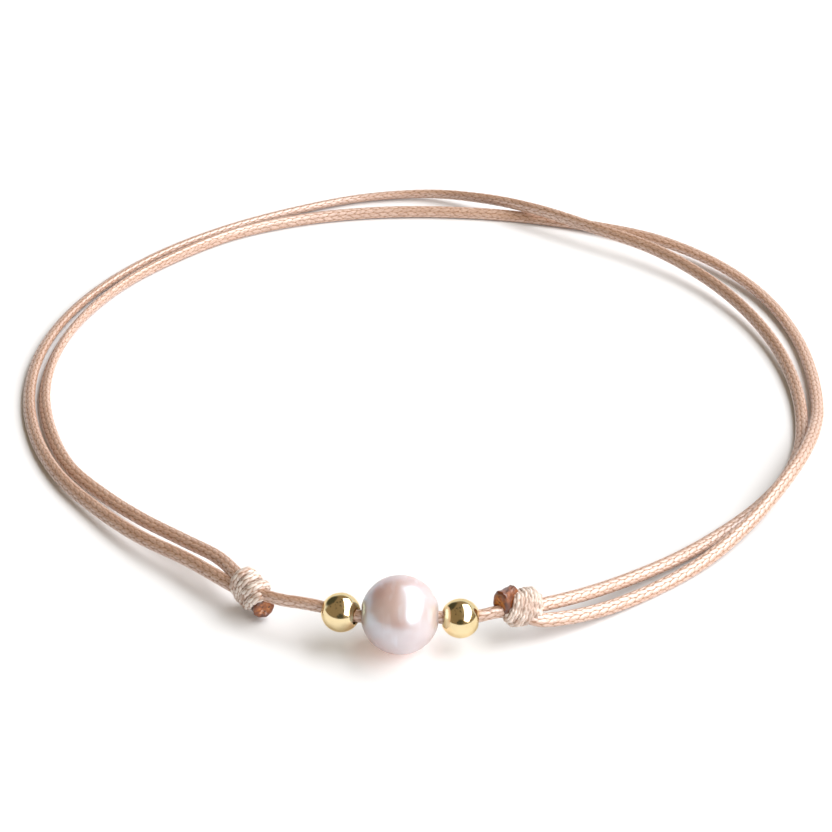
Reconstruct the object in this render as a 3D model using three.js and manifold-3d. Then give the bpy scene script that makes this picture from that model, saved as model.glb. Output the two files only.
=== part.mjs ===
// Pearl choker on one braided cord, lying on a flat surface.
//
// The cord carries a large pearl between two gold balls. Each of its ends goes right round the back of
// the loop and is tied in a sliding knot round the other half, so two strands lie side by side there.
//
// Millimetres, +Z up. The surface is z = 0, the origin is under the middle of the loop, and the
// pearl is at the front, towards -Y.

import * as THREE from 'three';
import { mergeVertices } from 'three/addons/utils/BufferGeometryUtils.js';
import Module from 'manifold-3d';

const wasm = await Module();
wasm.setup();

// ---- Sizes ------------------------------------------------------------------------------------

const gap = 0.3; // clearance between pieces that touch on the real choker

const cord = {
  diameter: 1.5,
  sides: 8,
  loopSteps: 34, // along each strand round the back
  frontSteps: 16, // along the short stretch through the beads
};

const pearl = {
  diameter: 10, // across the drill hole
  length: 9.9, // along the drill hole
  holeDiameter: 2.4,
  sides: 48,
  rings: 24,
  centre: new THREE.Vector3(-2.8, -62, 5),
};

const goldBead = {
  diameter: 5,
  holeDiameter: 2.4,
  lipRadius: 0.2, // rounding where the ball meets its hole
  sides: 32,
  rings: 14,
};

const knot = {
  halfWidth: 2, // across the two cords that the turns hold
  boreDiameter: cord.diameter + 3 * gap,
  turnDepth: 0.35, // how far each turn stands above the groove beside it
  sides: 24,
  ringsPerTurn: 6,
};

const meltedEnd = {
  radius: 1.2,
  neckRadius: 1.05, // where it leaves the knot
  length: 1.2,
  rimRadius: 0.5,
  rimSteps: 4,
  offset: 2.1, // from the core cord's axis to the tail's
};

// Each knot is given by the middle of its core cord, the way that the core runs on to the pearl, and
// the side on which the tail lies.
const knots = {
  left: {
    centre: new THREE.Vector3(-21.9, -54, 4.15),
    towardsPearl: new THREE.Vector3(0.62, -0.78, -0.06),
    towardsTail: new THREE.Vector3(0.05, 0.1, -0.98),
    turns: 3,
    length: 4.2,
    halfHeight: 2.9, // of the turns, along the line from the core to the tail
    sleeveOffset: 0.8, // from the core's axis to the middle of the turns
    sleeveShift: 0, // along the core, from the middle
  },
  right: {
    centre: new THREE.Vector3(12.7, -59.3, 4.15),
    towardsPearl: new THREE.Vector3(-0.88, -0.45, 0.1),
    towardsTail: new THREE.Vector3(-0.1, 0.35, 0.93),
    turns: 3,
    length: 4,
    halfHeight: 2.45,
    sleeveOffset: 0.35,
    sleeveShift: -0.2,
  },
};

// ---- Cord routes: x, y, z of the cord's centre line -------------------------------------------

// The strand tied on the left: from the outer end of the left knot, outside the other strand as far as
// the back, over it there, then inside it and into the right knot as its core.
const tiedLeftRoute = [
  [-24.6, -52.3, 3.1], [-30.6, -45.9, 2.65], [-37.8, -38.8, 1.95], [-44, -31, 1.4],
  [-49.6, -22.5, 1.1], [-53.9, -12.2, 0.9], [-56.3, -0.6, 0.8], [-56.3, 11.5, 0.8],
  [-53.7, 23.4, 0.8], [-48.4, 34.8, 0.8], [-40.7, 45.1, 0.8], [-31.2, 53.6, 0.8],
  [-20.6, 60.2, 0.8], [-9.6, 64.9, 0.8], [1.4, 65.7, 1.1], [10.4, 61.8, 2.2],
  [18.7, 56.1, 3], [27.3, 49.7, 3], [35.8, 43.2, 2.8], [43, 35.2, 2.2],
  [48.5, 25.6, 1.7], [52.2, 14.8, 1.3], [53.9, 3.8, 1], [53.9, -6, 0.8],
  [52.6, -14.8, 0.8], [49.5, -23, 0.8], [45.2, -30, 0.8], [39.8, -36.5, 0.85],
  [33.2, -43.5, 1.3], [26.4, -49.4, 1.9], [20.2, -54.5, 2.95], [14.65, -58.3, 3.93],
  [12.83, -59.23, 4.13],
];

// The strand tied on the right: from the middle of the left knot, inside at first, under the other
// strand at the back, then outside it to the outer end of the right knot.
const tiedRightRoute = [
  [-21.99, -53.88, 4.16], [-23.39, -52.13, 4.29], [-26.4, -46.8, 3.8], [-31.4, -41, 2.9],
  [-37.4, -34.6, 2.1], [-43.2, -27.4, 1.4], [-48.5, -19.6, 1], [-52.2, -9.8, 0.8],
  [-54.2, 1, 0.8], [-53.8, 12.4, 0.8], [-51, 23.6, 0.8], [-45.8, 34.3, 0.8],
  [-38.4, 43.6, 0.8], [-29.2, 51.8, 0.8], [-18.4, 56.9, 0.8], [-7, 59.3, 0.8],
  [4.6, 59.5, 0.8], [16, 57.7, 0.8], [26.8, 54.1, 1], [36.8, 49.1, 1.4],
  [45.5, 41, 1.4], [51.8, 31.2, 1.1], [55.5, 19.6, 0.8], [56.8, 7.6, 0.8],
  [56.4, -3.6, 1.1], [54.9, -11.7, 2.1], [52.4, -19.4, 2.7], [48.5, -27.4, 2.5],
  [43, -36.2, 1.7], [36.3, -44.3, 1], [28.4, -51.2, 0.8], [21.6, -56.3, 1.5],
  [15.6, -59.8, 2.75],
];

// From the middle of the left knot through the three beads to the middle of the right knot.
const frontRoute = [
  [-21.81, -54.12, 4.14], [-20.41, -55.87, 4.06], [-17.8, -57.7, 4.3], [-15.3, -58.8, 4.6],
  [-12.65, -59.85, 4.75], [-10.22, -60.95, 4.67], [-7.85, -62.08, 4.85], [-5.9, -62.2, 4.97],
  [-2.7, -62.05, 5], [0.2, -62.1, 4.93], [2.25, -62.25, 4.8], [4.75, -62.13, 4.57],
  [7.25, -61.65, 4.62], [9.1, -60.95, 4.6], [10.75, -60.25, 4.37], [12.57, -59.37, 4.17],
];

const leftBeadPoint = 5; // place in frontRoute of each gold bead's middle
const rightBeadPoint = 11;

// ---- Finishes ---------------------------------------------------------------------------------

const finishes = {
  cord: { color: 0xcda48c, roughness: 0.55, metalness: 0 },
  meltedEnd: { color: 0x8a3f16, roughness: 0.25, metalness: 0 },
  pearl: { color: 0xe2cdd3, roughness: 0.2, metalness: 0.1 },
  gold: { color: 0xd9b54e, roughness: 0.08, metalness: 1 },
};

// ---- Geometry helpers -------------------------------------------------------------------------

function toSolid(geometry) {
  // A closed mesh with its shared vertices merged, as a solid for cutting.
  const bare = geometry.clone();
  bare.deleteAttribute('normal');
  bare.deleteAttribute('uv');
  const merged = mergeVertices(bare, 1e-4);
  return new wasm.Manifold(new wasm.Mesh({
    numProp: 3,
    vertProperties: new Float32Array(merged.attributes.position.array),
    triVerts: new Uint32Array(merged.index.array),
  }));
}

function toGeometry(solid) {
  const mesh = solid.getMesh();
  const geometry = new THREE.BufferGeometry();
  geometry.setAttribute('position', new THREE.BufferAttribute(mesh.vertProperties, 3));
  geometry.setIndex(new THREE.BufferAttribute(mesh.triVerts, 1));
  geometry.computeVertexNormals();
  return geometry;
}

function cordTube(route, steps) {
  // A round section with few sides carried along a smooth curve through the route's points.
  const points = route.map(([x, y, z]) => new THREE.Vector3(x, y, z));
  const section = new THREE.Shape();
  for (let side = 0; side < cord.sides; side += 1) {
    const angle = (2 * Math.PI * (side + 0.5)) / cord.sides;
    const x = (cord.diameter / 2) * Math.cos(angle);
    const y = (cord.diameter / 2) * Math.sin(angle);
    if (side === 0) section.moveTo(x, y);
    else section.lineTo(x, y);
  }
  return new THREE.ExtrudeGeometry(section, {
    steps,
    bevelEnabled: false,
    extrudePath: new THREE.CatmullRomCurve3(points, false, 'centripetal'),
  });
}

function pearlGeometry() {
  // A ball pressed slightly shorter along its drill hole. A band of flat facets round the middle
  // touches the true size, so that one of them is the flat on which the pearl stands.
  const bore = pearl.holeDiameter / 2;
  const bandAngle = Math.PI / pearl.rings / 2;
  const scale = 1 / Math.cos(bandAngle) / Math.cos(Math.PI / pearl.sides);
  const radius = (pearl.diameter / 2) * scale;
  const boreAngle = Math.acos(bore / radius);
  const profile = [];
  for (let ring = -pearl.rings / 2; ring < pearl.rings / 2; ring += 1) {
    const angle = bandAngle * (2 * ring + 1);
    if (Math.abs(angle) < boreAngle) {
      profile.push(new THREE.Vector2(radius * Math.cos(angle), (pearl.length / 2) * Math.sin(angle)));
    }
  }
  const mouth = (pearl.length / 2) * Math.sin(boreAngle);
  profile.unshift(new THREE.Vector2(bore, -mouth));
  profile.push(new THREE.Vector2(bore, mouth), new THREE.Vector2(bore, -mouth));
  return new THREE.LatheGeometry(profile, pearl.sides);
}

function goldBeadGeometry() {
  // A ball cut off flat round its hole, with a small bevelled lip there.
  const radius = goldBead.diameter / 2;
  const bore = goldBead.holeDiameter / 2;
  const lip = goldBead.lipRadius;
  const edgeAngle = Math.acos((bore + lip) / radius);
  const halfLength = radius * Math.sin(edgeAngle);
  const lipProfile = [[bore, halfLength - lip], [bore + 0.3 * lip, halfLength - 0.3 * lip]];
  const profile = lipProfile.map(([x, y]) => new THREE.Vector2(x, -y));
  for (let ring = 0; ring <= goldBead.rings; ring += 1) {
    const angle = edgeAngle * ((2 * ring) / goldBead.rings - 1);
    profile.push(new THREE.Vector2(radius * Math.cos(angle), radius * Math.sin(angle)));
  }
  profile.push(...lipProfile.reverse().map(([x, y]) => new THREE.Vector2(x, y)));
  profile.push(profile[0].clone());
  return new THREE.LatheGeometry(profile, goldBead.sides);
}

function sleeveGeometry(side) {
  // The knot's turns as one oval barrel with a rounded ridge for each turn, bored for the core cord.
  // Its own Z is along the core, and its own Y points from the core to the tail.
  const { turns, length, halfHeight, sleeveOffset, sleeveShift } = side;
  const crest = knot.halfWidth;
  const groove = crest - knot.turnDepth;
  const profile = [new THREE.Vector2(0, -length / 2)];
  for (let ring = 0; ring <= turns * knot.ringsPerTurn; ring += 1) {
    const turn = ring / knot.ringsPerTurn;
    const rise = Math.sin(Math.PI * (turn % 1)) * knot.turnDepth;
    profile.push(new THREE.Vector2(groove + rise, length * (turn / turns - 0.5)));
  }
  profile.push(new THREE.Vector2(0, length / 2));
  const barrel = new THREE.LatheGeometry(profile, knot.sides);
  barrel.rotateX(Math.PI / 2);
  barrel.scale(1, halfHeight / crest, 1);
  barrel.translate(0, sleeveOffset, sleeveShift);
  const bore = new THREE.CylinderGeometry(
    knot.boreDiameter / 2, knot.boreDiameter / 2, length + 2, knot.sides,
  );
  bore.rotateX(Math.PI / 2);
  return toGeometry(toSolid(barrel).subtract(toSolid(bore)));
}

function meltedEndGeometry() {
  // The cut end of the cord, melted to a smooth round button, narrower and flat towards the knot.
  const { radius, neckRadius, length, rimRadius, rimSteps } = meltedEnd;
  const profile = [new THREE.Vector2(0, 0), new THREE.Vector2(neckRadius, 0)];
  for (let step = 0; step <= rimSteps; step += 1) {
    const angle = (Math.PI / 2) * (step / rimSteps);
    profile.push(new THREE.Vector2(
      radius - rimRadius * (1 - Math.cos(angle)),
      length - rimRadius * (1 - Math.sin(angle)),
    ));
  }
  profile.push(new THREE.Vector2(0, length));
  const button = new THREE.LatheGeometry(profile, knot.sides);
  button.rotateX(Math.PI / 2);
  return button;
}

function part(name, geometry, finish) {
  const mesh = new THREE.Mesh(geometry, new THREE.MeshStandardMaterial(finish));
  mesh.name = name;
  return mesh;
}

// ---- Assembly ---------------------------------------------------------------------------------

function knotGroup(name) {
  // The turns and the melted end, with their own Z along the core and Y towards the tail.
  const side = knots[name];
  const along = side.towardsPearl.clone().normalize();
  const toTail = side.towardsTail.clone().projectOnPlane(along).normalize();
  const across = toTail.clone().cross(along);
  const sleeve = part(`sliding_knot_${name}`, sleeveGeometry(side), finishes.cord);
  const end = part(`melted_end_${name}`, meltedEndGeometry(), finishes.meltedEnd);
  end.position.set(0, meltedEnd.offset, side.length / 2 + side.sleeveShift + gap);
  const group = new THREE.Group();
  group.position.copy(side.centre);
  group.quaternion.setFromRotationMatrix(new THREE.Matrix4().makeBasis(across, toTail, along));
  group.add(sleeve, end);
  return group;
}

function goldBeadMesh(name, routePoint) {
  // The ball sits on the cord with its hole along the cord there.
  const before = new THREE.Vector3(...frontRoute[routePoint - 1]);
  const after = new THREE.Vector3(...frontRoute[routePoint + 1]);
  const mesh = part(name, goldBeadGeometry(), finishes.gold);
  mesh.position.set(...frontRoute[routePoint]);
  mesh.quaternion.setFromUnitVectors(new THREE.Vector3(0, 1, 0), after.sub(before).normalize());
  return mesh;
}

function pearlMesh() {
  // The lathe's axis is turned along X, and by half a side so that a flat facet is underneath.
  const mesh = part('pearl', pearlGeometry(), finishes.pearl);
  mesh.position.copy(pearl.centre);
  mesh.rotation.set(Math.PI / pearl.sides, 0, -Math.PI / 2);
  return mesh;
}

const choker = new THREE.Group();
choker.add(
  pearlMesh(),
  goldBeadMesh('gold_bead_left', leftBeadPoint),
  goldBeadMesh('gold_bead_right', rightBeadPoint),
  part('cord_front', cordTube(frontRoute, cord.frontSteps), finishes.cord),
  part('cord_strand_tied_left', cordTube(tiedLeftRoute, cord.loopSteps), finishes.cord),
  part('cord_strand_tied_right', cordTube(tiedRightRoute, cord.loopSteps), finishes.cord),
  knotGroup('left'),
  knotGroup('right'),
);

export default choker;
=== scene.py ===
import math

import bpy
import numpy as np
from mathutils import Matrix, Vector


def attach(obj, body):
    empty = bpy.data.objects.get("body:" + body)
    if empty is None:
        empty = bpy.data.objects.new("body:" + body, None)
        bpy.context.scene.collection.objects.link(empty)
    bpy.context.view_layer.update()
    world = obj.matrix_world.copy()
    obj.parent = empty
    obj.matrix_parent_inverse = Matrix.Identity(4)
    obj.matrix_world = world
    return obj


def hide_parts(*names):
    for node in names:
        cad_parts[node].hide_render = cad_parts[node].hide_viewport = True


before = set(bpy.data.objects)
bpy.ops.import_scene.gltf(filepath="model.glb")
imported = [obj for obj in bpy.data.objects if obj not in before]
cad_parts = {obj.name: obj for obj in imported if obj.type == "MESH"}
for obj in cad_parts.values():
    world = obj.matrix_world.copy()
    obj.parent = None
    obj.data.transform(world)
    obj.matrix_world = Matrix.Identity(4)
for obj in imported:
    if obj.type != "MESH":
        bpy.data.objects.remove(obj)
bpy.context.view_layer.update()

millimetre = 0.001
print("frame loaded")


cameraLook = {
    "place": (-0.0008, -0.3736, 0.2152),
    "tiltDegrees": 59.79,
    "lens": 129.8,
    "sensor": 36.0,
    "clip": (0.01, 20.0),
}


def addCamera(look):
    data = bpy.data.cameras.new("camera")
    data.lens = look["lens"]
    data.sensor_width = look["sensor"]
    data.clip_start, data.clip_end = look["clip"]
    camera = bpy.data.objects.new("camera", data)
    camera.location = look["place"]
    camera.rotation_euler = (math.radians(look["tiltDegrees"]), 0, 0)
    bpy.context.scene.collection.objects.link(camera)
    bpy.context.scene.camera = camera


addCamera(cameraLook)
print("camera placed")


class Wire:
    # one output socket of a finish; sums and products with it add Math nodes
    def __init__(self, finish, socket):
        self.finish = finish
        self.socket = socket

    def math(self, operation, *others):
        values = dict(enumerate((self,) + others))
        return self.finish.node("ShaderNodeMath", {"operation": operation}, values)

    def __add__(self, other):
        return self.math("ADD", other)

    __radd__ = __add__

    def __mul__(self, other):
        return self.math("MULTIPLY", other)

    __rmul__ = __mul__

    def __sub__(self, other):
        return self.math("SUBTRACT", other)

    def __rsub__(self, other):
        return self.finish.node("ShaderNodeMath", {"operation": "SUBTRACT"}, {0: other, 1: self})

    def __truediv__(self, other):
        return self.math("DIVIDE", other)

    def floor(self):
        return self.math("FLOOR")

    def root(self):
        return self.math("SQRT")

    def atLeast(self, low):
        return self.math("MAXIMUM", low)

    def atMost(self, high):
        return self.math("MINIMUM", high)

    def steps(self, low, high):
        # 0 below low, 1 above high, smooth between
        settings = {"interpolation_type": "SMOOTHSTEP"}
        sockets = {"Value": self, "From Min": low, "From Max": high}
        return self.finish.node("ShaderNodeMapRange", settings, sockets)


class Finish:
    # the node tree of a material or of the world
    def __init__(self, block):
        block.use_nodes = True
        self.block = block
        self.tree = block.node_tree
        self.tree.nodes.clear()

    def node(self, kind, settings=None, sockets=None, output=0):
        made = self.tree.nodes.new(kind)
        for name, value in (settings or {}).items():
            if name == "ramp":
                self.fillRamp(made.color_ramp, value)
            else:
                setattr(made, name, value)
        for name, value in (sockets or {}).items():
            if isinstance(value, Wire):
                self.tree.links.new(value.socket, made.inputs[name])
            else:
                made.inputs[name].default_value = value
        return Wire(self, made.outputs[output])

    def parts(self, vector):
        split = self.node("ShaderNodeSeparateXYZ", {}, {0: vector}).socket.node
        return [Wire(self, split.outputs[k]) for k in range(3)]

    def end(self, kind, wire):
        made = self.tree.nodes.new(kind)
        self.tree.links.new(wire.socket, made.inputs["Surface"])
        return self.block

    def fillRamp(self, ramp, stops):
        while len(ramp.elements) > 1:
            ramp.elements.remove(ramp.elements[-1])
        for index, (place, colour) in enumerate(stops):
            stop = ramp.elements[0] if index == 0 else ramp.elements.new(place)
            stop.position = place
            stop.color = (*colour, 1)

    def objectPlace(self):
        return self.node("ShaderNodeTexCoord", output="Object")

    def noise(self, place, scale, detail=3):
        return self.node("ShaderNodeTexNoise", {}, {"Vector": place, "Scale": scale, "Detail": detail})

    def stretched(self, place, scale):
        return self.node("ShaderNodeMapping", {}, {"Vector": place, "Scale": scale})

    def mixColour(self, share, first, second):
        first, second = (c if isinstance(c, Wire) else (*c, 1) for c in (first, second))
        settings = {"data_type": "RGBA", "blend_type": "MIX"}
        return self.node("ShaderNodeMix", settings, {0: share, 6: first, 7: second}, 2)

    def scaleColour(self, colour, amount):
        return self.node("ShaderNodeVectorMath", {"operation": "SCALE"}, {0: colour, "Scale": amount})

    def bump(self, height, strength, distance):
        sockets = {"Height": height, "Strength": strength, "Distance": distance}
        return self.node("ShaderNodeBump", {}, sockets)

    def surface(self, sockets):
        return self.end("ShaderNodeOutputMaterial", self.node("ShaderNodeBsdfPrincipled", {}, sockets))


def turnedOutward(points, corners, starts):
    # six times the enclosed volume, from a fan of triangles in each face, tells which way the faces look
    ends = np.append(starts[1:], len(corners))
    first = points[corners[starts]]
    second, third = points[corners[starts + 1]], points[corners[starts + 2]]
    fourth = points[corners[ends - 1]]
    cones = np.cross(second, third) + np.cross(third, fourth)
    return np.einsum("ij,ij->", first, cones) > 0


def gridPiece(name, grid, acrossAt, alongAt, ringShaped=False):
    # rings of the grid are joined to quads, each ring closes on itself, and the first and last rings either
    # meet (ring shaped) or close on a pole at their middle
    rings, sides = grid.shape[:2]
    points = grid.reshape(-1, 3)
    row = np.arange(rings if ringShaped else rings - 1)[:, None]
    column = np.arange(sides)[None, :]
    nextRow, nextColumn = (row + 1) % rings, (column + 1) % sides
    quads = np.stack([
        row * sides + column,
        row * sides + nextColumn,
        nextRow * sides + nextColumn,
        nextRow * sides + column,
    ], -1).reshape(-1, 4)
    across = np.stack([acrossAt[column], acrossAt[column + 1], acrossAt[column + 1], acrossAt[column]], -1)
    along = np.stack([alongAt[row], alongAt[row], alongAt[row + 1], alongAt[row + 1]], -1)
    across, along = np.broadcast_arrays(across, along)
    corners = [quads.ravel()]
    places = [np.stack([across, along], -1).reshape(-1, 2)]
    starts = [np.arange(len(quads)) * 4]
    if not ringShaped:
        poles = np.stack([grid[0].mean(0), grid[-1].mean(0)])
        points = np.vstack([points, poles])
        column = column[0]
        after = (column + 1) % sides
        last = (rings - 1) * sides
        fans = np.vstack([
            np.stack([after, column, np.full(sides, rings * sides)], -1),
            np.stack([last + column, last + after, np.full(sides, rings * sides + 1)], -1),
        ])
        atStart = np.stack([acrossAt[column + 1], acrossAt[column], acrossAt[column] + 0.5], -1)
        atEnd = np.stack([acrossAt[column], acrossAt[column + 1], acrossAt[column] + 0.5], -1)
        fanAcross = np.vstack([atStart, atEnd])
        fanAlong = np.repeat([alongAt[0], alongAt[rings - 1]], sides)[:, None] * np.ones(3)
        corners.append(fans.ravel())
        places.append(np.stack([fanAcross, fanAlong], -1).reshape(-1, 2))
        starts.append(quads.size + np.arange(len(fans)) * 3)
    corners, places, starts = np.concatenate(corners), np.vstack(places), np.concatenate(starts)
    if not turnedOutward(points, corners, starts):
        ends = np.append(starts[1:], len(corners))
        sizes = ends - starts
        order = np.repeat(starts + ends - 1, sizes) - np.arange(len(corners))
        corners, places = corners[order], places[order]
    mesh = bpy.data.meshes.new(name)
    mesh.vertices.add(len(points))
    mesh.vertices.foreach_set("co", points.astype(np.float32).ravel())
    mesh.loops.add(len(corners))
    mesh.loops.foreach_set("vertex_index", corners.astype(np.int32))
    mesh.polygons.add(len(starts))
    mesh.polygons.foreach_set("loop_start", starts.astype(np.int32))
    mesh.polygons.foreach_set("use_smooth", np.ones(len(starts), bool))
    layer = mesh.uv_layers.new(name="braid")
    layer.uv.foreach_set("vector", places.astype(np.float32).ravel())
    mesh.update(calc_edges=True)
    mesh.validate()
    piece = bpy.data.objects.new(name, mesh)
    bpy.context.scene.collection.objects.link(piece)
    return piece


def finishPiece(piece, material, nodes):
    piece.data.materials.append(material)
    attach(piece, "root")
    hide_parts(*nodes)


def unit(vectors):
    return vectors / np.linalg.norm(vectors, axis=-1, keepdims=True)


def smooth(share):
    share = np.clip(share, 0, 1)
    return share * share * (3 - 2 * share)


def smoothed(values, reach):
    # the running mean over so many neighbours on either side
    window = np.ones(2 * reach + 1) / (2 * reach + 1)
    return np.convolve(np.pad(values, reach, mode="edge"), window, mode="valid")


# lengths in millimetres; columns, pitch, slant and reaches lay out the braid's scales
cordLook = {
    "columns": 8,
    "pitch": 1.52,
    "slant": 0.5,
    "reachAcross": 0.56,
    "reachAlong": 0.53,
    "relief": 0.05,
    "sidesPerColumn": 5,
    "ringsPerPitch": 8,
    "halfWidth": 0.92,
    "halfThickness": 0.62,
    "squareness": 0.88,
    "rollSmoothing": 40,
    "restingHeight": 0.8,
    "restingFade": 1.2,
    "floorGap": 0.08,
    "diameter": 1.5,
}


def curveThrough(points, spacing):
    # centripetal Catmull-Rom: each span is the cubic through its ends whose knots stand apart by the square
    # roots of the chords; the whole line is then walked again in even steps
    stepsPerSpan = 60
    route = np.array(points, float) * millimetre
    route = np.vstack([2 * route[0] - route[1], route, 2 * route[-1] - route[-2]])
    knots = np.append(0, np.cumsum(np.linalg.norm(np.diff(route, axis=0), axis=1) ** 0.5))
    span = np.arange(1, len(route) - 2)
    t0, t1, t2, t3 = (knots[span + k][:, None, None] for k in (-1, 0, 1, 2))
    p0, p1, p2, p3 = (route[span + k][:, None, :] for k in (-1, 0, 1, 2))
    t = t1 + (t2 - t1) * np.linspace(0, 1, stepsPerSpan, endpoint=False)[None, :, None]
    a1 = p0 + (p1 - p0) * (t - t0) / (t1 - t0)
    a2 = p1 + (p2 - p1) * (t - t1) / (t2 - t1)
    a3 = p2 + (p3 - p2) * (t - t2) / (t3 - t2)
    b1 = a1 + (a2 - a1) * (t - t0) / (t2 - t0)
    b2 = a2 + (a3 - a2) * (t - t1) / (t3 - t1)
    line = (b1 + (b2 - b1) * (t - t1) / (t2 - t1)).reshape(-1, 3)
    return evenly(np.vstack([line, route[-2]]), spacing)


def evenly(line, spacing):
    # the same line walked in even steps
    walked = np.append(0, np.cumsum(np.linalg.norm(np.diff(line, axis=0), axis=1)))
    at = np.linspace(0, walked[-1], max(2, round(walked[-1] / spacing) + 1))
    return np.stack([np.interp(at, walked, line[:, k]) for k in range(3)], -1), at


def ovalSection(halfWidth, halfThickness, squareness, sides):
    # squared oval: the powers of cosine and sine times the half sizes, walked in even arc steps
    fineSteps = 2880
    turn = np.linspace(0, 2 * math.pi, fineSteps + 1)
    cosine, sine = np.cos(turn), np.sin(turn)
    wide = halfWidth * np.sign(cosine) * np.abs(cosine) ** squareness
    high = halfThickness * np.sign(sine) * np.abs(sine) ** squareness
    walked = np.append(0, np.cumsum(np.hypot(np.diff(wide), np.diff(high))))
    at = np.linspace(0, walked[-1], sides + 1)[:-1]
    wide, high = np.interp(at, walked, wide), np.interp(at, walked, high)
    alongEdge = np.stack([np.roll(wide, -1) - np.roll(wide, 1), np.roll(high, -1) - np.roll(high, 1)], -1)
    alongEdge = unit(alongEdge)
    return np.stack([wide, high], -1), np.stack([alongEdge[:, 1], -alongEdge[:, 0]], -1)


def scaleHeight(column, along, look):
    # braid: columns round the cord, each a chain of leaf shaped scales, half a pitch off its neighbours and
    # leaning the other way; height is the root of 1 less the squared distances from the scale's middle
    odd = np.floor(column) % 2
    across = column - np.floor(column) - 0.5
    shifted = along + 0.5 * odd + look["slant"] * across * (2 * odd - 1)
    lengthwise = shifted - np.floor(shifted) - 0.5
    inside = 1 - (across / look["reachAcross"]) ** 2 - (lengthwise / look["reachAlong"]) ** 2
    return np.sqrt(np.clip(inside, 0, 1))


def sweptCord(name, centres, walked, upward, roll, look, grow=None):
    # the oval section carried along the line, its wide side turned by roll from the level, lifted by the
    # scales' height less its usual value, and scaled by grow where that is given
    usualHeight = 0.75
    tangent = unit(np.gradient(centres, axis=0))
    side = unit(np.cross(tangent, upward))
    up = np.cross(side, tangent)
    sides = look["columns"] * look["sidesPerColumn"]
    sizes = (look["halfWidth"] * millimetre, look["halfThickness"] * millimetre)
    outline, outward = ovalSection(*sizes, look["squareness"], sides)
    wideAxis = side * np.cos(roll)[:, None] + up * np.sin(roll)[:, None]
    highAxis = up * np.cos(roll)[:, None] - side * np.sin(roll)[:, None]
    acrossAt = np.arange(sides + 1) / look["sidesPerColumn"]
    alongAt = walked / (look["pitch"] * millimetre)
    relief = scaleHeight(acrossAt[None, :-1], alongAt[:, None], look) - usualHeight
    lifted = outline[None] + outward[None] * (relief * look["relief"] * millimetre)[..., None]
    if grow is not None:
        lifted = lifted * grow[:, None, None]
    grid = centres[:, None] + wideAxis[:, None] * lifted[..., :1] + highAxis[:, None] * lifted[..., 1:]
    return gridPiece(name, grid, acrossAt, alongAt)


def cordFinish(name, colours):
    # the same scales as in the surface, with height the root of 1 less the squared distances from the
    # scale's middle and groove 1 less that height's smooth step; each scale has a tone of its own between
    # the two thread colours, then come fine streaks, red-brown flecks from a stretched noise that are
    # stronger in the grooves, soft brown stains, painted crevice shade that darkens the grooves, duller
    # grooves, and a waxy coat on the crowns
    look = cordLook
    finish = Finish(bpy.data.materials.new(name))
    place = finish.node("ShaderNodeUVMap", {"uv_map": "braid"})
    column, along = finish.parts(place)[:2]
    number = column.floor()
    odd = number.math("MODULO", 2.0)
    across = column - number - 0.5
    lean = (odd * 2 - 1) * across * look["slant"]
    shifted = along + odd * 0.5 + lean
    scaleNumber = shifted.floor()
    lengthwise = shifted - scaleNumber - 0.5
    wide = across / look["reachAcross"]
    long = lengthwise / look["reachAlong"]
    height = (1 - wide * wide - long * long).atLeast(0.0).root()
    corner = finish.node("ShaderNodeCombineXYZ", {}, {"X": number, "Y": scaleNumber})
    shade = finish.node("ShaderNodeTexWhiteNoise", {"noise_dimensions": "2D"}, {"Vector": corner})
    thread = ((across * 4.0 + lengthwise * (odd * 2 - 1) * 1.6) * (2 * math.pi)).math("SINE")
    wear = finish.noise(finish.objectPlace(), 90.0, 3)
    streaks = finish.noise(finish.stretched(place, (9.0, 2.2, 1.0)), 1.0, 2)
    fleckNoise = finish.noise(finish.stretched(place, colours["fleckGrain"]), 1.0, 2)
    groove = 1 - height.steps(0.1, 0.75)
    body = finish.mixColour(shade * 0.5 + wear * 0.6, colours["thread"], colours["paleThread"])
    body = finish.scaleColour(body, streaks * 0.5 + 0.75)
    # red-brown flecks from a stretched noise, full strength in the grooves and half on the crowns
    flecks = fleckNoise.steps(0.47, 0.6) * (groove * 0.5 + 0.5)
    body = finish.mixColour(flecks * colours["flecks"], body, colours["fleck"])
    stains = finish.noise(finish.objectPlace(), 620.0, 2).steps(0.46, 0.66) * colours["stains"]
    body = finish.mixColour(stains, body, colours["fleck"])
    # painted crevice shade: the grooves' colour darkens the body where the scales meet
    body = finish.mixColour(groove * colours["grooves"], body, colours["groove"])
    normal = finish.bump(height * 0.6 + thread * 0.07 + streaks * 0.25, 0.4, 0.1 * millimetre)
    return finish.surface({
        "Base Color": body,
        "Roughness": groove * 0.2 + flecks * 0.1 + 0.42,
        "Normal": normal,
        "IOR": 1.6,
        "Coat Weight": (1 - groove) * (1 - flecks * 0.5) * colours["wax"],
        "Coat IOR": 2.6,
        "Coat Roughness": 0.4,
    })


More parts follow.
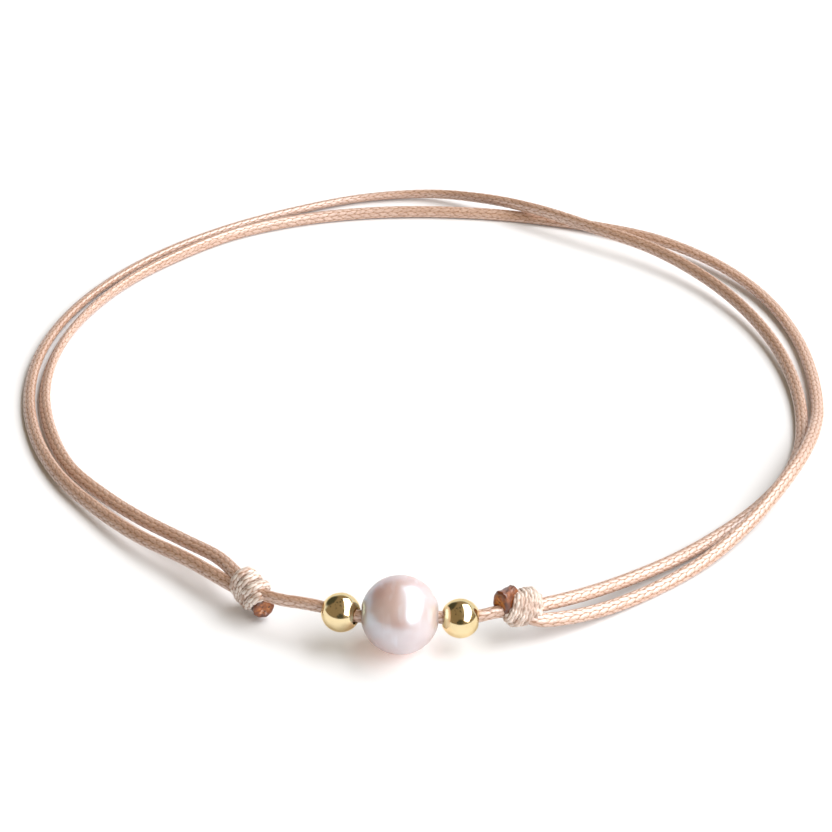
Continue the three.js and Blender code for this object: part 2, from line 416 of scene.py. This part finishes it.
# the strands' routes in millimetres, as in the part's own source; roll turns the wide side, as pairs of
# a distance along the cord and an angle in degrees
strandTiedLeft = {
    "route": [
        [-23.4, -53.3, 3.2], [-24.6, -52.3, 3.25], [-30.6, -45.9, 2.85], [-37.8, -38.8, 2.1],
        [-44, -31, 1.45], [-49.6, -22.5, 1.1],
        [-53.9, -12.2, 0.9], [-56.3, -0.6, 0.8], [-56.3, 11.5, 0.8], [-53.7, 23.4, 0.8],
        [-48.4, 34.8, 0.8], [-40.7, 45.1, 0.8], [-31.2, 53.6, 0.8], [-20.6, 60.2, 0.8], [-9.6, 64.9, 0.8],
        [1.4, 65.7, 1.1],
        [10.4, 61.8, 2.2], [18.7, 56.1, 3], [27.3, 49.7, 3], [35.8, 43.2, 2.8], [43, 35.2, 2.2],
        [48.5, 25.6, 1.7], [52.2, 14.8, 1.3], [53.9, 3.8, 1], [53.9, -6, 0.8], [52.6, -14.8, 0.8],
        [49.5, -23, 0.8], [45.2, -30, 0.8], [39.8, -36.5, 0.85], [33.2, -43.5, 1.3], [26.4, -49.4, 1.9],
        [20.2, -54.5, 2.95], [14.65, -58.3, 3.93], [12.83, -59.23, 4.13],
    ],
    "roll": [(0, 48), (40, 40), (70, 27), (150, 30), (200, 120), (240, 145), (270, 180), (325, 212)],
    "rests": True,
    "lay": "loose",
    "look": {},
}
strandTiedRight = {
    "route": [
        [-21.99, -53.88, 4.16], [-23.39, -52.13, 4.25], [-26.4, -46.8, 3.65], [-31.4, -41, 2.7],
        [-37.4, -34.6, 1.9], [-43.2, -27.4, 1.25], [-48.5, -19.6, 0.9], [-52.2, -9.8, 0.8], [-54.2, 1, 0.8],
        [-53.8, 12.4, 0.8], [-51, 23.6, 0.8], [-45.8, 34.3, 0.8], [-38.4, 43.6, 0.8], [-29.2, 51.8, 0.8],
        [-18.4, 56.9, 0.8], [-7, 59.3, 0.8], [4.6, 59.5, 0.8], [16, 57.9, 0.8], [26.8, 54.4, 1],
        [36.8, 49.1, 1.4], [45.5, 41, 1.4], [51.8, 31.2, 1.1], [55.5, 19.6, 0.8], [56.8, 7.6, 0.8],
        [56.4, -3.6, 1.1], [54.9, -11.7, 2.1], [52.4, -19.4, 2.7], [48.5, -27.4, 2.5], [43, -36.2, 1.7],
        [36.3, -44.3, 1], [28.4, -51.2, 0.8], [21.6, -56.3, 1.5], [15.6, -59.8, 2.75],
        [14.4, -60.2, 3.15], [13.4, -60.2, 3.5],
    ],
    "roll": [(0, 22), (40, 25), (70, 42), (120, 90), (160, 120), (210, 180), (255, 195), (326, 230)],
    "rests": True,
    "lay": "loose",
    "look": {},
}
frontCord = {
    "route": [
        [-21.81, -54.12, 4.14], [-20.41, -55.87, 4.1], [-17.8, -57.7, 4.4], [-15.3, -58.8, 4.68],
        [-12.65, -59.85, 4.78], [-10.22, -60.95, 4.67], [-7.85, -62.08, 4.85], [-5.9, -62.2, 4.97],
        [-2.7, -62.05, 5], [0.2, -62.1, 4.93], [2.25, -62.25, 4.8], [4.75, -62.13, 4.57],
        [7.25, -61.65, 4.64], [9.1, -60.95, 4.68], [10.75, -60.25, 4.45], [12.57, -59.37, 4.17],
    ],
    "roll": [(0, 70), (38, 70)],
    "rests": False,
    "lay": "taut",
    "look": {"halfThickness": 0.68},
}
# in each set the groove colour and its share paint crevice shade into the grooves between the scales
strandColours = {
    "thread": (0.53, 0.30, 0.195),
    "paleThread": (0.65, 0.44, 0.335),
    "fleck": (0.27, 0.105, 0.045),
    "fleckGrain": (2.4, 3.0, 1.0),
    "groove": (0.34, 0.185, 0.105),
    "flecks": 0.8,
    "stains": 0.12,
    "grooves": 0.7,
    "wax": 0.95,
}
# both wrap sets are the strands' cord made paler: painted light for the sheen of the tight turns; the pale
# set for the left knot is paler still, painted light with some waxy bloom
paleWrapColoursBloomAndPaintedLight = {
    "thread": (0.80, 0.69, 0.61),
    "paleThread": (0.92, 0.87, 0.82),
    "fleck": (0.36, 0.18, 0.10),
    "fleckGrain": (0.9, 0.9, 1.0),
    "groove": (0.36, 0.19, 0.11),
    "flecks": 0.6,
    "stains": 0.65,
    "grooves": 0.75,
    "wax": 0.35,
}
tanWrapColoursWithPaintedLight = {
    "thread": (0.62, 0.49, 0.41),
    "paleThread": (0.80, 0.72, 0.66),
    "fleck": (0.42, 0.26, 0.19),
    "fleckGrain": (0.9, 0.9, 1.0),
    "groove": (0.42, 0.27, 0.19),
    "flecks": 0.6,
    "stains": 0.6,
    "grooves": 0.6,
    "wax": 0.15,
}


def restingHeights(centres, roll, look):
    # a stretch that lies on the floor is moved until its own turned section just clears it, and the move
    # fades out where the cord lifts
    reach = np.hypot(look["halfWidth"] * np.sin(roll), look["halfThickness"] * np.cos(roll))
    height = centres[:, 2] / millimetre
    change = reach + look["floorGap"] - look["restingHeight"]
    onFloor = 1 - smooth((height - look["restingHeight"]) / look["restingFade"])
    return (height + change * onFloor) * millimetre


def cordPiece(name, strand, material, nodes):
    look = {**cordLook, **strand["look"]}
    centres, walked = curveThrough(strand["route"], look["pitch"] / look["ringsPerPitch"] * millimetre)
    marks = np.array(strand["roll"], float)
    roll = np.radians(np.interp(walked / millimetre, marks[:, 0], marks[:, 1]))
    roll = smoothed(roll, look["rollSmoothing"])
    if strand["rests"]:
        centres[:, 2] = restingHeights(centres, roll, look)
    piece = sweptCord(name, centres, walked, np.array([0.0, 0.0, 1.0]), roll, look)
    finishPiece(piece, material, nodes)


strandFinish = cordFinish("waxed braid", strandColours)
cordPiece("strand_tied_left_braid", strandTiedLeft, strandFinish, ["cord_strand_tied_left"])
cordPiece("strand_tied_right_braid", strandTiedRight, strandFinish, ["cord_strand_tied_right"])
cordPiece("front_cord_braid", frontCord, strandFinish, ["cord_front"])


# a knot lies along towardsPearl and is tall along towardsTail; each pair goes from the strands' end to the
# pearl's, and a lean is how far the turns slant along the knot for each millimetre of their height
leftKnot = {
    "centre": (-21.9, -54, 4.15),
    "towardsPearl": (0.62, -0.78, -0.06),
    "towardsTail": (0.05, 0.1, -0.98),
    "turns": 3.6,
    "travel": 4.1,
    "halfWidths": (1.88, 1.95),
    "halfHeights": (2.9, 2.5),
    "offsets": (0.65, 1.0),
    "shift": -0.1,
    "leans": (0.08, 0.75),
    "startTurn": 0.2,
    "lumps": 0.05,
    "wrap": {},
}
rightKnot = {
    "centre": (12.7, -59.3, 4.15),
    "towardsPearl": (-0.88, -0.45, 0.1),
    "towardsTail": (-0.1, 0.35, 0.93),
    "turns": 3.42,
    "travel": 3.6,
    "halfWidths": (1.95, 2.05),
    "halfHeights": (2.45, 2.28),
    "offsets": (0.3, 0.17),
    "shift": 0.1,
    "leans": (0.1, 0.5),
    "startTurn": 0.3,
    "lumps": 0.12,
    "wrap": {"halfWidth": 0.76, "halfThickness": 0.62, "relief": 0.15, "columns": 8, "pitch": 0.9},
}
wrapLook = {
    "halfWidth": 0.66,
    "halfThickness": 0.54,
    "pitch": 1.1,
    "relief": 0.14,
    "columns": 6,
    "loopSquareness": 0.8,
    "lineSteps": 1500,
    "tuckTurns": 0.35,
    "tuckDepth": 0.45,
    "widthWobble": 0.03,
    "heightWobble": 0.025,
    "alongWobble": 0.12,
}


def knotFrame(knot):
    along = unit(np.array(knot["towardsPearl"], float))
    tail = np.array(knot["towardsTail"], float)
    tail = unit(tail - along * (tail @ along))
    return np.array(knot["centre"]) * millimetre, along, tail, np.cross(along, tail)


def wrapPiece(name, knot, material, nodes):
    # turns of cord round the core: the line goes round a squared oval across the knot while it moves
    # along it, from the strands' end to the pearl's; sizes and lean change evenly on the way, slow sines
    # of the turn make them uneven, the line tucks inwards at its ends, and two sines along the cord swell
    # and shrink it
    look = {**cordLook, **wrapLook, **knot["wrap"]}
    centre, along, tail, side = knotFrame(knot)
    share = np.linspace(0, 1, look["lineSteps"])
    turn = 2 * math.pi * (knot["startTurn"] + knot["turns"] * share)
    tuckShare = look["tuckTurns"] / knot["turns"]
    tuck = smooth(1 - share / tuckShare) + smooth(1 - (1 - share) / tuckShare)
    drawnIn = 1 - look["tuckDepth"] * tuck
    halfWidth, halfHeight, offset, lean = (
        knot[key][0] + (knot[key][1] - knot[key][0]) * share
        for key in ("halfWidths", "halfHeights", "offsets", "leans"))
    wide = (halfWidth - look["halfThickness"]) * (1 + look["widthWobble"] * np.sin(turn * 0.37 + 1))
    high = (halfHeight - look["halfThickness"]) * (1 + look["heightWobble"] * np.sin(turn * 0.53 + 2))
    cosine, sine = np.cos(turn), np.sin(turn)
    power = look["loopSquareness"]
    acrossKnot = wide * np.sign(cosine) * np.abs(cosine) ** power * drawnIn
    towardsTail = high * np.sign(sine) * np.abs(sine) ** power * drawnIn
    uneven = look["alongWobble"] * np.sin(turn * 0.31 + 0.6)
    alongKnot = (share - 0.5) * knot["travel"] + knot["shift"] - lean * towardsTail + uneven
    line = (along[None] * alongKnot[:, None] + side[None] * acrossKnot[:, None]
            + tail[None] * (towardsTail + offset)[:, None]) * millimetre + centre
    line, walked = evenly(line, look["pitch"] / look["ringsPerPitch"] * millimetre)
    middle = centre + tail * (sum(knot["offsets"]) / 2) * millimetre
    outward = line - middle
    outward = unit(outward - along * (outward @ along)[:, None])
    wave = walked / look["pitch"] / millimetre * 2 * math.pi
    grow = 1 + knot["lumps"] * (np.sin(wave * 0.9) * 0.6 + np.sin(wave * 0.37 + 1) * 0.6)
    piece = sweptCord(name, line, walked, outward, np.zeros(len(line)), look, grow)
    finishPiece(piece, material, nodes)


# the knots' wraps take the paler copies of the cord's colour above: painted light
wrapPiece("sliding_knot_left_wraps", leftKnot, cordFinish("pale braid with bloom and painted light", paleWrapColoursBloomAndPaintedLight),
          ["sliding_knot_left"])
wrapPiece("sliding_knot_right_wraps", rightKnot, cordFinish("fluffed braid with painted light", tanWrapColoursWithPaintedLight),
          ["sliding_knot_right"])
print("knots tied")


leftStub = {
    "face": (-20.1, -56.1, 2.0),
    "faces": (0.42, -0.88, 0.2),
    "radii": (1.4, 1.36),
    "seed": 1.0,
}
rightStub = {
    "face": (9.75, -60.9, 5.8),
    "faces": (-0.6, -0.78, -0.05),
    "radii": (1.22, 1.95),
    "seed": 1.5,
}
stubLook = {
    "rings": 90,
    "sides": 96,
    "smoothing": 3,
    "lumps": (0.04, 0.025, 0.02),
    "dents": (0.05, 0.04),
    "dishFrom": 2.9,
    "dishOver": 0.4,
}
# height above the face, and share of the radius, from the neck to the middle of the dish
stubProfile = [
    (-2.8, 0.72), (-1.6, 0.82), (-0.9, 0.9), (-0.5, 0.96), (-0.3, 1.0), (-0.12, 0.96), (0.0, 0.86),
    (0.04, 0.72), (0.02, 0.55), (-0.05, 0.36), (-0.1, 0.15),
]


def stubPiece(name, stub, material, nodes):
    # a melted end: a neck that swells to a rim and closes over in a shallow dish; its radius and the
    # depth of the dish are waved by a few sines round and along
    look = stubLook
    facing = unit(np.array(stub["faces"], float))
    side = unit(np.cross([0.0, 0.0, 1.0], facing))
    up = np.cross(facing, side)
    profile = np.array(stubProfile)
    walked = np.append(0, np.cumsum(np.linalg.norm(np.diff(profile, axis=0), axis=1)))
    at = np.linspace(0, walked[-1], look["rings"])
    height, radius = (smoothed(np.interp(at, walked, profile[:, k]), look["smoothing"]) for k in (0, 1))
    turn = np.linspace(0, 2 * math.pi, look["sides"] + 1)[None, :-1]
    seed = stub["seed"]
    wideLump, midLump, fineLump = look["lumps"]
    lumps = (wideLump * np.sin(2 * turn + seed) + midLump * np.sin(5 * turn + 2 * seed)
             + fineLump * np.sin(9 * turn + 5 * at[:, None] + seed))
    radial = radius[:, None] * (1 + lumps)
    dish = smooth((at[:, None] - look["dishFrom"]) / look["dishOver"])
    wave, pit = look["dents"]
    pits = np.sin(7 * radial * np.cos(turn) + seed) * np.cos(6 * radial * np.sin(turn))
    dents = dish * (wave * np.sin(3 * turn + seed) * radius[:, None] + pit * pits)
    wideRadius, highRadius = stub["radii"]
    grid = (facing * (height[:, None] + dents)[..., None]
            + side * (radial * np.cos(turn) * wideRadius)[..., None]
            + up * (radial * np.sin(turn) * highRadius)[..., None]) * millimetre
    grid += np.array(stub["face"]) * millimetre
    piece = gridPiece(name, grid, np.arange(look["sides"] + 1) / look["sides"], at / at[-1])
    finishPiece(piece, material, nodes)


def meltedFinish():
    # hardened melt: streaks, patches and the dish add up to a share between burnt brown and amber, with
    # black spots in the dish, pits, and a gloss that varies with them
    finish = Finish(bpy.data.materials.new("melted cord"))
    place = finish.objectPlace()
    uv = finish.node("ShaderNodeUVMap", {"uv_map": "braid"})
    along = finish.parts(uv)[1]
    patches = finish.noise(place, 900.0, 3)
    pits = finish.noise(place, 2600.0, 2)
    streaks = finish.noise(finish.stretched(uv, (14.0, 3.0, 1.0)), 1.0, 3)
    dish = along.steps(0.8, 0.92)
    amber = (streaks * 0.9 + patches * 0.8 + dish * 0.3 - 0.5).atLeast(0.0).atMost(1.0)
    stops = [(0.0, (0.04, 0.008, 0.003)), (0.3, (0.14, 0.036, 0.01)), (0.6, (0.36, 0.11, 0.025)),
             (1.0, (0.75, 0.33, 0.08))]
    colour = finish.node("ShaderNodeValToRGB", {"ramp": stops}, {"Fac": amber}, "Color")
    spots = finish.noise(place, 1500.0, 1).steps(0.6, 0.68) * dish
    colour = finish.mixColour(spots * 0.85, colour, (0.03, 0.012, 0.006))
    normal = finish.bump(pits + patches * 1.5, 0.35, 0.15 * millimetre)
    return finish.surface({
        "Base Color": colour,
        "Roughness": 0.2 + pits * 0.25,
        "Normal": normal,
        "Coat Weight": 0.5,
        "Coat Roughness": 0.12,
        "IOR": 1.55,
    })


meltFinish = meltedFinish()
stubPiece("melted_tip_left", leftStub, meltFinish, ["melted_end_left"])
stubPiece("melted_tip_right", rightStub, meltFinish, ["melted_end_right"])
print("ends melted")


pearlLook = {
    "centre": (-2.8, -62, 5),
    "axis": (1, 0, 0),
    "radius": 5.0,
    "halfLength": 4.95,
    "holeRadius": 1.05,
    "lip": 0.18,
    "wave": 0.012,
    "rings": 200,
    "sides": 256,
}
ballLook = {
    "radius": 2.5,
    "halfLength": 2.5,
    "holeRadius": 0.98,
    "lip": 0.2,
    "wave": 0.0,
    "rings": 120,
    "sides": 160,
}
leftBall = {**ballLook, "centre": (-10.22, -60.95, 4.67), "axis": (2.43, -1.1, -0.08)}
rightBall = {**ballLook, "centre": (4.75, -62.13, 4.57), "axis": (2.5, 0.12, -0.23)}


def drilledBall(name, look, material, nodes):
    # a ball turned about its drill axis: an elliptic arc from lip to lip, a quarter round lip at each end
    # and the bore back; its radius is waved very slightly
    lipSteps, boreSteps = 12, 24
    rings, sides = look["rings"], look["sides"]
    axis = unit(np.array(look["axis"], float))
    first = unit(np.cross(axis, [0.0, 0.0, 1.0]))
    second = np.cross(axis, first)
    radius, halfLength, hole, lip = (look[k] for k in ("radius", "halfLength", "holeRadius", "lip"))
    openAngle = math.asin((hole + lip) / radius)
    arc = np.linspace(openAngle, math.pi - openAngle, rings)
    outer = np.stack([-np.cos(arc) * halfLength, np.sin(arc) * radius], -1)
    edge = halfLength * math.cos(openAngle)
    quarter = np.linspace(0, math.pi / 2, lipSteps)[1:]
    rightLip = np.stack([edge - lip + lip * np.cos(quarter), hole + lip - lip * np.sin(quarter)], -1)
    bore = np.stack([np.linspace(edge - lip, lip - edge, boreSteps)[1:-1], np.full(boreSteps - 2, hole)], -1)
    leftLip = np.stack([-rightLip[::-1, 0], rightLip[::-1, 1]], -1)[:-1]
    leftLip = np.vstack([[lip - edge, hole], leftLip[1:]])
    profile = np.vstack([outer, rightLip, bore, leftLip])
    turn = np.linspace(0, 2 * math.pi, sides + 1)[:-1]
    place = profile[:, :1]
    waves = (np.sin(3 * turn[None] + 4 * place) * 0.5 + np.sin(7 * turn[None] - 2 * place) * 0.3
             + np.sin(2 * turn[None] + 1) * 0.8)
    radial = profile[:, 1:] + look["wave"] * waves * (profile[:, 1:] > hole + lip)
    spun = first * np.cos(turn)[:, None] + second * np.sin(turn)[:, None]
    grid = axis * profile[:, None, :1] + spun[None] * radial[..., None]
    grid = (grid + np.array(look["centre"])) * millimetre
    across, along = np.arange(sides + 1) / sides, np.arange(len(profile) + 1) / len(profile)
    piece = gridPiece(name, grid, across, along, ringShaped=True)
    finishPiece(piece, material, nodes)


def pearlFinish():
    # nacre: a rose-brown body with cloudy patches and a few pale streaks of painted reflection, a strong
    # bluish reflection, and a thin salmon skin whose tint deepens at the rim
    finish = Finish(bpy.data.materials.new("pearl nacre"))
    place = finish.objectPlace()
    clouds = finish.noise(place, 170.0, 3)
    grain = finish.noise(place, 2600.0, 2)
    ripple = finish.noise(finish.stretched(place, (240.0, 500.0, 500.0)), 1.0, 2)
    # pale streaks painted into the body colour: a painted reflection
    streaks = finish.noise(finish.stretched(place, (900.0, 500.0, 220.0)), 1.0, 1).steps(0.56, 0.7)
    body = finish.mixColour(clouds.steps(0.3, 0.7), (0.72, 0.515, 0.465), (0.77, 0.6, 0.56))
    body = finish.mixColour(streaks * 0.25, body, (0.95, 0.90, 0.95))
    normal = finish.bump(grain * 0.2 + ripple * 0.2, 0.1, 0.05 * millimetre)
    return finish.surface({
        "Base Color": body,
        "Roughness": 0.29 + clouds * 0.08,
        "Normal": normal,
        "IOR": 4.6,
        "Specular Tint": (0.5, 0.82, 1.0, 1.0),
        "Subsurface Weight": 1.0,
        "Subsurface Scale": 0.005,
        "Subsurface Radius": (1.0, 0.85, 0.8),
        "Coat Weight": 1.0,
        "Coat Roughness": 0.25,
        "Coat IOR": 1.08,
        "Coat Tint": (0.985, 0.94, 0.93, 1.0),
    })


def goldFinish():
    # polished pale gold: yellow metal with faint haze patches, in its colour and its roughness, and
    # hairline scratches along the drill
    finish = Finish(bpy.data.materials.new("polished gold"))
    place = finish.objectPlace()
    haze = finish.noise(place, 420.0, 3)
    scratch = finish.noise(finish.stretched(place, (900.0, 9000.0, 9000.0)), 1.0, 2)
    tone = finish.mixColour(haze.steps(0.35, 0.65), (0.79, 0.64, 0.36), (0.85, 0.70, 0.42))
    normal = finish.bump(scratch + haze * 2, 0.05, 0.02 * millimetre)
    return finish.surface({
        "Base Color": tone,
        "Metallic": 1.0,
        "Specular Tint": (1.0, 0.88, 0.68, 1.0),
        "Roughness": 0.08 + haze * 0.08,
        "Normal": normal,
    })


drilledBall("pearl_nacre", pearlLook, pearlFinish(), ["pearl"])
gold = goldFinish()
drilledBall("gold_ball_left", leftBall, gold, ["gold_bead_left"])
drilledBall("gold_ball_right", rightBall, gold, ["gold_bead_right"])
print("pearl and gold balls set")


floorLook = {
    "frontEdge": -0.125,
    "backEdge": 0.9,
    "half": 0.6,
    "outer": 2.5,
    "colour": (0.865, 0.88, 0.90),
    # painted glow: the colour of the light the paper emits round the pearl's foot, and how far it reaches
    "paintedPearlGlow": (0.40, 0.27, 0.22),
    "paintedGlowRadii": 1.5,
}
# towards is the window's direction from the choker, and longSide the way that it stands
keyLook = {
    "towards": (0.67, -0.18, 0.72),
    "longSide": (-0.128, 0.914, 0.347),
    "distance": 3.0,
    "size": (7.2, 2.3),
    "power": 248.0,
    "colour": (0.99, 0.99, 1.0),
}
roomLook = {
    "dark": (0.29, 0.225, 0.15),
    "black": (0.07, 0.07, 0.05),
    # each a direction, and the cosines to it between which the black comes in
    "blackPlaces": [((-0.62, 0.57, 0.53), 0.85, 0.95), ((0.0, -0.98, 0.17), 0.93, 0.985)],
    "glow": (0.92, 0.88, 0.82),
    "glowShare": 0.2,
    "backdrop": (0.95, 0.97, 1.0),
    "seen": (1.0, 1.0, 1.0),
}


def floorFinish():
    # matt white paper with a very faint mottling, and close round the pearl a painted rosy glow that the
    # paper emits itself in place of the light the pearl lets through, strongest where it stands and gone
    # one radius and a half away
    finish = Finish(bpy.data.materials.new("white paper"))
    place = finish.objectPlace()
    mottle = finish.noise(place, 60.0, 2)
    pale = floorLook["colour"]
    tone = finish.mixColour(mottle, pale, tuple(c * 1.01 for c in pale))
    foot = tuple(v * millimetre for v in (*pearlLook["centre"][:2], 0))
    away = finish.node("ShaderNodeVectorMath", {"operation": "DISTANCE"}, {0: place, 1: foot}, "Value")
    paintedGlowReach = pearlLook["radius"] * floorLook["paintedGlowRadii"] * millimetre
    reach = (1 - away / paintedGlowReach).atLeast(0.0).atMost(1.0)
    # painted glow: the paper emits rosy light round the pearl's foot, standing in for light through the
    # pearl
    glow = finish.mixColour(reach, (0.0, 0.0, 0.0), floorLook["paintedPearlGlow"])
    return finish.surface({"Base Color": tone, "Roughness": 0.9, "Specular IOR Level": 0.1,
                           "Emission Color": glow, "Emission Strength": 1.0})


def floorPiece(name, corners, material):
    mesh = bpy.data.meshes.new(name)
    faces = [tuple(range(k, k + 4)) for k in range(0, len(corners), 4)]
    mesh.from_pydata([(x, y, 0) for x, y in corners], [], faces)
    mesh.materials.append(material)
    piece = bpy.data.objects.new(name, mesh)
    bpy.context.scene.collection.objects.link(piece)
    return piece


def rectangle(x0, y0, x1, y1):
    return [(x0, y0), (x1, y0), (x1, y1), (x0, y1)]


def addFloor(look):
    # the paper, and the same floor further out, which the gold and the pearl do not mirror
    paper = floorFinish()
    half, out = look["half"], look["outer"]
    edge, back = look["frontEdge"], look["backEdge"]
    floorPiece("floor", rectangle(-half, edge, half, back), paper)
    ring = (rectangle(-out, -out, out, edge) + rectangle(-out, edge, -half, back)
            + rectangle(half, edge, out, back) + rectangle(-out, back, out, out))
    outer = floorPiece("outer_floor", ring, paper)
    outer.visible_glossy = False


def addKeyLight(look):
    data = bpy.data.lights.new("window", "AREA")
    data.shape = "RECTANGLE"
    data.size, data.size_y = look["size"]
    data.energy = look["power"]
    data.color = look["colour"]
    light = bpy.data.objects.new("window", data)
    towards = Vector(look["towards"]).normalized()
    longSide = Vector(look["longSide"])
    longSide = (longSide - towards * longSide.dot(towards)).normalized()
    turned = Matrix((longSide, towards.cross(longSide), towards)).transposed().to_4x4()
    light.matrix_world = Matrix.Translation(towards * look["distance"]) @ turned
    light.visible_camera = False
    bpy.context.scene.collection.objects.link(light)


def addRoom(look):
    # a brown room with black patches from a noise, a glow round the window, a pale backdrop low behind
    # the choker and the black places over all, by direction; the camera itself sees white
    world = bpy.data.worlds.new("room")
    bpy.context.scene.world = world
    finish = Finish(world)
    direction = finish.node("ShaderNodeTexCoord", output="Generated")
    y, z = finish.parts(direction)[1:]

    def near(place):
        towards = tuple(Vector(place).normalized())
        settings = {"operation": "DOT_PRODUCT"}
        return finish.node("ShaderNodeVectorMath", settings, {0: direction, 1: towards}, "Value")

    blobs = finish.noise(direction, 2.6, 1)
    room = finish.mixColour(blobs.steps(0.36, 0.44), look["black"], look["dark"])
    nearWindow = near(keyLook["towards"]).steps(0.72, 0.94)
    room = finish.mixColour(nearWindow * look["glowShare"], room, look["glow"])
    behind = y.steps(0.15, 0.4) * (1 - z.steps(0.36, 0.56))
    light = finish.mixColour(behind, room, look["backdrop"])
    for place, low, high in look["blackPlaces"]:
        light = finish.mixColour(near(place).steps(low, high), light, look["black"])
    isCamera = finish.node("ShaderNodeLightPath", output="Is Camera Ray")
    colour = finish.mixColour(isCamera, light, look["seen"])
    background = finish.node("ShaderNodeBackground", {}, {"Color": colour, "Strength": 1.0})
    finish.end("ShaderNodeOutputWorld", background)


addFloor(floorLook)
addKeyLight(keyLook)
addRoom(roomLook)
bpy.context.scene.view_settings.view_transform = "Standard"
print("floor and light set")
